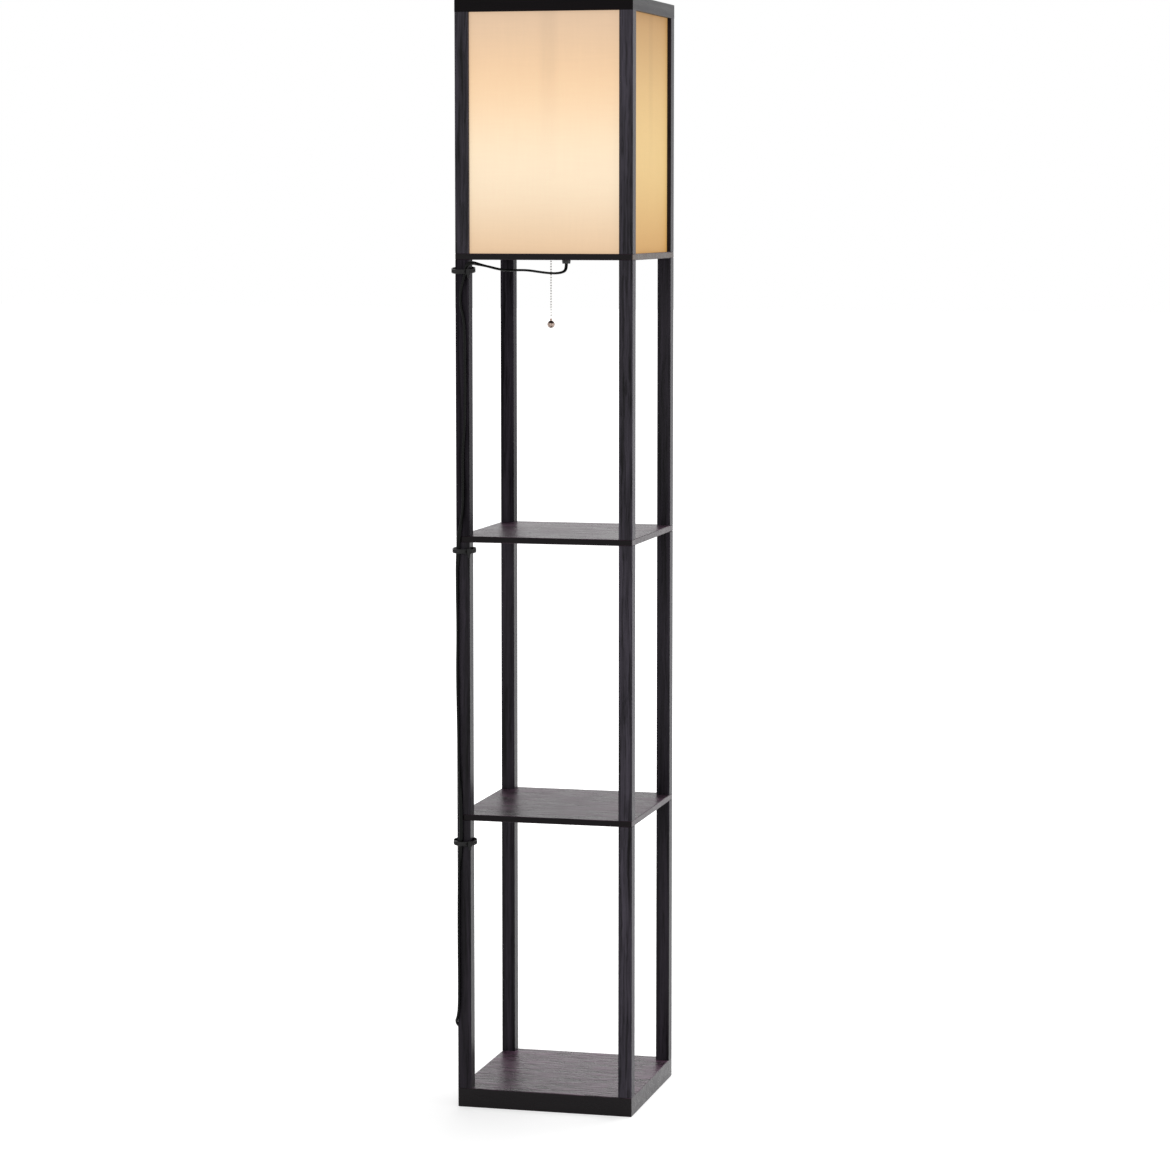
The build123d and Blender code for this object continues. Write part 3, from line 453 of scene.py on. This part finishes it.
# ------------------------------------------------------------------ lead
LEAD_RESOLUTION = 6         # points of the line to each control point
LOBE_RADIUS = 1.7           # mm, each of the two fused cores
LOBE_CENTRE = 1.1           # mm, from the lead's middle
WEB_HALF = 1.5              # mm, half the thickness between the lobes
LOBE_ANGLES = (-100, -75, -50, -25, 0, 25, 50, 75, 100)
EDGEWISE = (1, 0, 0)
# The lead's control points in millimetres, in stretches that share its thin direction. They
# repeat the CAD route, with shifts of up to 2 mm from a height of 350 mm down to the plug.
ROUTE = [
    ((-0.67, -0.75, 0.0), [(0, 0, 1224), (0, 0, 1218.5)]),
    ((0, 0, 1), [
        (-2, -2.2, 1212.6), (-9.5, -10.6, 1210.2), (-19, -21.2, 1210.4), (-31, -34.7, 1212.4),
        (-43, -48.2, 1214.9), (-53, -59.4, 1215.6), (-66, -73.9, 1215), (-77.5, -86.8, 1217),
        (-88, -98.6, 1220.6),
    ]),
    ((0.5, 0, 0.9), [(-98, -109.8, 1223.8)]),
    ((1, 0, 0.3), [(-104.2, -119, 1226), (-105, -129.4, 1226.6)]),
    ((0.5, -0.6, 0.6), [(-109.2, -134.6, 1225.4)]),
    ((0.9, -0.3, 0.4), [(-113.8, -133.8, 1219)]),
    (EDGEWISE, [
        (-115.2, -133.5, 1208), (-119.2, -133.5, 1194), (-121.7, -133.4, 1181),
        (-121, -133.4, 1165), (-116.6, -133.4, 1148), (-114.8, -133.4, 1126),
        (-114.8, -133.4, 1010), (-116.2, -133.4, 984), (-118.6, -133.4, 960),
        (-118.2, -133.4, 880),
    ]),
    ((1, -0.5, 0), [(-120.8, -133.4, 858)]),
    ((0.5, -1, 0), [(-125.4, -133.4, 836), (-126.4, -133.4, 812)]),
    (EDGEWISE, [
        (-128.2, -133.4, 776), (-127, -133.4, 700), (-128.2, -133.4, 640),
        (-126.8, -133.4, 560), (-126.2, -133.4, 500),
    ]),
    ((0.4, -1, 0), [(-123.2, -133.4, 440), (-123.2, -133.4, 390)]),
    (EDGEWISE, [
        (-126.6, -133.4, 350), (-127.2, -133.4, 270), (-126.8, -133.3, 190),
        (-127.0, -133.2, 152), (-128.3, -133.5, 137),
    ]),
    ((0.8, 0.5, 0), [(-132.3, -132.2, 126.5)]),
    (EDGEWISE, [
        (-132.1, -121, 120.5), (-132.1, -109, 112), (-132.2, -101, 94), (-132.3, -97, 60),
        (-132.5, -95, 28),
    ]),
    ((-0.9, 0, 0.3), [(-134.4, -89, 9)]),
    ((-0.7, 0, 0.7), [(-136.2, -74, 3.2)]),
    ((0, 0, 1), [(-136.3, -50, 2.4), (-135.2, 0, 2.2), (-135, 66, 2.2)]),
    ((-0.5, 0, 0.8), [(-135.8, 108, 2.5), (-136.2, 128, 2.6)]),
    ((-0.5, 0.5, 0.6), [(-130.6, 138.9, 2.7)]),
    ((0, 0.6, 0.7), [(-120.2, 144.9, 2.7), (-105.5, 143.6, 2.7), (-91.5, 138.8, 2.7)]),
    ((0, -0.7, 0.7), [(-77, 135.7, 2.7), (-62, 135.7, 2.7)]),
]
COIL_CENTRE = (-54.0, 167.5)        # of the first half turn, mm
COIL_OUTER = 31.8           # mm, radius of the first half turn
COIL_STEP = 5.4             # mm, between one turn and the next
COIL_LOW = 2.7              # mm, height of the lower layer
COIL_LAYER = 5.1            # mm, between the two layers
COIL_HALF_TURNS = 8
COIL_CLIMB = 4              # the half turn that climbs to the upper layer
HALF_TURN_POINTS = 8
ROUTE_TO_PLUG = [
    ((0, -0.7, 0.7), [(-31, 135.7, 7.6)]),
    ((0, -0.2, 1), [(-11, 140, 7.3), (6, 148.4, 7), (22, 152, 6.85), (36, 152, 6.85)]),
]


def coil_points():
    """Control points of the half turns, each with its thin direction: up and outward."""
    start = Vector((COIL_CENTRE[0], COIL_CENTRE[1] - COIL_OUTER, COIL_LOW))
    step = math.pi / HALF_TURN_POINTS
    made = []
    for k in range(COIL_HALF_TURNS):
        side = 1 - 2 * (k % 2)
        radius = COIL_OUTER - (COIL_CLIMB - abs(COIL_CLIMB - k)) * COIL_STEP / 2
        centre = start + Vector((0, side * radius, 0))
        rise = COIL_LAYER if k == COIL_CLIMB else 0.0
        reach = radius / math.cos(step / 2)
        for j in range(HALF_TURN_POINTS):
            share = (j + 0.5) / HALF_TURN_POINTS
            angle = share * math.pi
            out = Vector((math.sin(angle), -math.cos(angle), 0)) * side
            place = centre + out * reach + Vector((0, 0, rise * share))
            made.append((out + Vector((0, 0, 1)), place))
        start = start + Vector((0, 2 * radius * side, rise))
    return made


def spread(stretches):
    """Each point of the stretches with its thin direction."""
    return [(thin, Vector(place)) for thin, places in stretches for place in places]


def lead_controls():
    points = spread(ROUTE) + coil_points() + spread(ROUTE_TO_PLUG)
    return [(Vector(thin).normalized(), place * MM) for thin, place in points]


def spline_points(name, controls, resolution):
    """The points of the smooth NURBS line that its control points draw."""
    curve = bpy.data.curves.new(name, "CURVE")
    curve.dimensions = "3D"
    spline = curve.splines.new("NURBS")
    spline.points.add(len(controls) - 1)
    for point, place in zip(spline.points, controls):
        point.co = (*place, 1)
    spline.order_u = 3
    spline.use_endpoint_u = True
    spline.resolution_u = resolution
    holder = bpy.data.objects.new(name, curve)
    mesh = bpy.data.meshes.new_from_object(holder)
    places = [vertex.co.copy() for vertex in mesh.vertices]
    bpy.data.objects.remove(holder)
    bpy.data.curves.remove(curve)
    bpy.data.meshes.remove(mesh)
    return places


def tangents(places):
    ends = [places[0], *places, places[-1]]
    return [(after - before).normalized() for before, after in zip(ends, ends[2:])]


def lead_section():
    """Outline of the flat twin lead, wide along x and thin along y, in metres."""
    lobe = []
    for degrees in LOBE_ANGLES:
        angle = math.radians(degrees)
        across = LOBE_CENTRE + LOBE_RADIUS * math.cos(angle)
        lobe.append((across, LOBE_RADIUS * math.sin(angle)))
    outline = [*lobe, (0, WEB_HALF), *((-x, -y) for x, y in lobe), (0, -WEB_HALF)]
    return [(x * MM, y * MM) for x, y in outline]


def add_piece(name, shape, material, smooth=True):
    """A new piece of the stand, from a bmesh that ends here."""
    mesh = bpy.data.meshes.new(name)
    shape.to_mesh(mesh)
    shape.free()
    mesh.materials.append(material)
    for face in mesh.polygons:
        face.use_smooth = smooth
    piece = bpy.data.objects.new(name, mesh)
    bpy.context.scene.collection.objects.link(piece)
    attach(piece, STAND)
    return piece


def sweep(shape, rings):
    """Add a closed tube from rings of points, capped at both ends."""
    made = [[shape.verts.new(p) for p in ring] for ring in rings]
    for ring, following in zip(made, made[1:]):
        for k in range(len(ring)):
            after = (k + 1) % len(ring)
            shape.faces.new((ring[k], ring[after], following[after], following[k]))
    shape.faces.new(reversed(made[0]))
    shape.faces.new(made[-1])
    bmesh.ops.recalc_face_normals(shape, faces=shape.faces)


def lead_rings(controls, places):
    """The lead's section at each point, turned to the thin direction of the nearest controls."""
    section = lead_section()
    last = len(controls) - 1
    rings = []
    for i, (place, along) in enumerate(zip(places, tangents(places))):
        spot = min(max(i / (len(places) - 1) * (last - 1) + 0.5, 0), last)
        low = min(int(spot), last - 1)
        before, after = controls[low][0], controls[low + 1][0]
        if before.dot(after) < 0:
            after = -after
        towards = before.lerp(after, spot - low)
        thin = (towards - along * towards.dot(along)).normalized()
        wide = along.cross(thin)
        rings.append([place + wide * x + thin * y for x, y in section])
    return rings


def make_lead():
    controls = lead_controls()
    places = spline_points("lead_line", [place for _, place in controls], LEAD_RESOLUTION)
    shape = bmesh.new()
    sweep(shape, lead_rings(controls, places))
    material = plastic("lead_pvc", (8, 9, 8), 0.30, grain=900.0, relief=0.00002, ior=1.20)
    lead = add_piece("lead", shape, material)
    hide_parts("mains_lead", "lead_coil")


# ------------------------------------------------------------------ cable ties
# millimetres, as in the CAD model: outward from the ring's axis, round it, and up
TIE_CENTRE = (-120.0, -122.2)
# height, and tilt in degrees
TIE_PLACES = {"top": (1216.2, 7.0), "middle": (815.2, 2.0), "bottom": (391.0, 4.0)}
TIE_INNER = 15.8
TIE_OUTER = 17.2
TIE_HALF = 3.3              # half the band's height
TIE_ROUND = 0.35
TIE_STEPS = 176
TEETH_HALF = 1.9            # half the height of the row of teeth
TOOTH_ROOT = 0.28           # depth between two teeth, and at a tooth's tip
TOOTH_TIP = 0.02
HEAD_ANGLE = -55.0
HEAD_SIZE = (4.2, 6.4, 8.6)
HEAD_SINK = 0.7             # into the band
HEAD_ROUND = 0.7
LIP_PLACE = 2.3             # each side of the head's window
LIP_HALF_WIDTH = 0.4
LIP_HALF_HEIGHT = 2.9
LIP_SINK = 0.3              # into the head
LIP_RISE = 0.25             # out of the head
LIP_ROUND = 0.2
TAIL_OUT = 20.0             # middle of the tail, from the ring's axis
TAIL_SIZE = (0.9, 3.4, 9.0)
TAIL_TOP = 0.4
TAIL_ROUND = 0.25


def boxy(shape, low, high, bevel):
    """Add a box between two corners with rounded edges."""
    made = bmesh.ops.create_cube(shape, size=1.0)["verts"]
    size = [b - a for a, b in zip(low, high)]
    middle = [(a + b) / 2 for a, b in zip(low, high)]
    for vertex in made:
        vertex.co = Vector(m + c * d for m, c, d in zip(middle, vertex.co, size))
    edges = {edge for vertex in made for edge in vertex.link_edges}
    bmesh.ops.bevel(shape, geom=list(edges), offset=bevel, segments=3, affect="EDGES")


def tie_section(groove):
    """Band section, outward and up, with rounded edges and a groove along the outer face."""
    inner, outer, half, r, teeth = TIE_INNER, TIE_OUTER, TIE_HALF, TIE_ROUND, TEETH_HALF
    deep = outer - groove
    return [
        (inner, -half + r), (inner + r, -half), (outer - r, -half), (outer, -half + r),
        (outer, -teeth), (deep, -teeth), (deep, teeth), (outer, teeth),
        (outer, half - r), (outer - r, half), (inner + r, half), (inner, half - r),
    ]


def make_tie(name, level, tilt, material):
    """Band with teeth, a ratchet head with its window, and the short cut tail."""
    shape = bmesh.new()
    rings = []
    for k in range(TIE_STEPS + 1):
        angle = 2 * math.pi * k / TIE_STEPS
        x, y = math.cos(angle), math.sin(angle)
        section = tie_section(TOOTH_ROOT if k % 2 else TOOTH_TIP)
        rings.append([Vector((x * out, y * out, up)) for out, up in section])
    sweep(shape, rings)
    out, wide, tall = HEAD_SIZE
    start = TIE_OUTER - HEAD_SINK
    lip = start + out
    boxy(shape, (start, -wide / 2, -tall / 2), (lip, wide / 2, tall / 2), HEAD_ROUND)
    for side in (-LIP_PLACE, LIP_PLACE):
        low = (lip - LIP_SINK, side - LIP_HALF_WIDTH, -LIP_HALF_HEIGHT)
        high = (lip + LIP_RISE, side + LIP_HALF_WIDTH, LIP_HALF_HEIGHT)
        boxy(shape, low, high, LIP_ROUND)
    thick, broad, long = TAIL_SIZE
    low = (TAIL_OUT - thick / 2, -broad / 2, -long)
    high = (TAIL_OUT + thick / 2, broad / 2, TAIL_TOP)
    boxy(shape, low, high, TAIL_ROUND)
    turn = Matrix.Rotation(math.radians(HEAD_ANGLE), 4, "Z")
    lean = Matrix.Rotation(math.radians(tilt), 4, "X")
    place = Matrix.Translation(Vector((*TIE_CENTRE, level)) * MM)
    matrix = place @ lean @ turn @ Matrix.Scale(MM, 4)
    bmesh.ops.transform(shape, matrix=matrix, verts=shape.verts)
    bmesh.ops.recalc_face_normals(shape, faces=shape.faces)
    tie = add_piece(f"tie_{name}", shape, material, smooth=False)
    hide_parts(f"cable_tie_{name}")


def make_ties():
    nylon = plastic("tie_nylon", (9, 8, 9), 0.22, ior=1.30)
    for name, (level, tilt) in TIE_PLACES.items():
        make_tie(name, level, tilt, nylon)


# ------------------------------------------------------------------ floor, world and lamps
FLOOR_HALF = 40.0
FLOOR_ALBEDO = (0.62, 0.62, 0.62, 1)
LIFT_NEAR = 0.55            # the floor's own light where it is seen, at NEAR and from FAR on
LIFT_FAR = 1.0
NEAR = 0.6                  # metres from the lamp's axis
FAR = 3.0
WORLD_FILL = 0.50           # the world's light on the lamp; where it is seen it is white
# place, aim, size in metres, power in watts
LAMPS = {
    "key": ((0.5, 1.3, 4.2), (0, 0, 0.6), 2.6, 130),
    "side": ((3.6, -1.2, 1.6), (0, 0, 0.8), 2.4, 24),
    "back": ((0.5, 7.0, 2.2), (0, 0, 0.9), 6.0, 30),
    "fill": ((-1.6, -4.0, 2.2), (0, 0, 0.8), 2.6, 30),
}


def seen_directly(tree):
    """1 for rays that show the background: from the camera, in gloss and through glass."""
    path = tree.add("ShaderNodeLightPath").outputs
    either = tree.math("MAXIMUM", path["Is Camera Ray"], path["Is Glossy Ray"])
    return tree.math("MAXIMUM", either, path["Is Transmission Ray"])


def floor_material():
    """A pale floor that shows as white far off and keeps the lamp's shadow near it."""
    tree = Tree("floor")
    lit = tree.add("ShaderNodeBsdfDiffuse", {"Color": FLOOR_ALBEDO}).outputs[0]
    reach = tree.add("ShaderNodeVectorMath", {0: tree.coords}, operation="LENGTH").outputs["Value"]
    lift = tree.remap(reach, NEAR, FAR, LIFT_NEAR, LIFT_FAR)
    lift = tree.math("MULTIPLY", seen_directly(tree), lift)
    own = tree.add("ShaderNodeEmission", {"Color": WHITE, "Strength": lift}).outputs[0]
    return tree.shade(tree.add("ShaderNodeAddShader", {0: lit, 1: own}).outputs[0])


def make_floor():
    shape = bmesh.new()
    bmesh.ops.create_grid(shape, x_segments=1, y_segments=1, size=FLOOR_HALF)
    mesh = bpy.data.meshes.new("floor")
    shape.to_mesh(mesh)
    shape.free()
    mesh.materials.append(floor_material())
    floor = bpy.data.objects.new("floor", mesh)
    bpy.context.scene.collection.objects.link(floor)


def make_world():
    world = bpy.data.worlds.new("studio")
    world.use_nodes = True
    bpy.context.scene.world = world
    tree = Graph(world.node_tree)
    background = tree.nodes["Background"]
    tree.put(background.inputs["Color"], WHITE)
    strength = tree.remap(seen_directly(tree), 0.0, 1.0, WORLD_FILL, 1.0)
    tree.put(background.inputs["Strength"], strength)


def make_lamp(name, place, aim, size, power):
    data = bpy.data.lights.new(name, "AREA")
    data.shape = "SQUARE"
    data.size = size
    data.energy = power
    lamp = bpy.data.objects.new(name, data)
    lamp.location = place
    lamp.rotation_euler = (Vector(aim) - Vector(place)).to_track_quat("-Z", "Y").to_euler()
    bpy.context.scene.collection.objects.link(lamp)


# ------------------------------------------------------------------ everything
make_camera()
bpy.context.scene.view_settings.view_transform = "Standard"
make_world()
make_floor()
for lamp_name, lamp_values in LAMPS.items():
    make_lamp(lamp_name, *lamp_values)
dress_wood()
dress_shade()
dress_fittings()
make_lead()
make_ties()
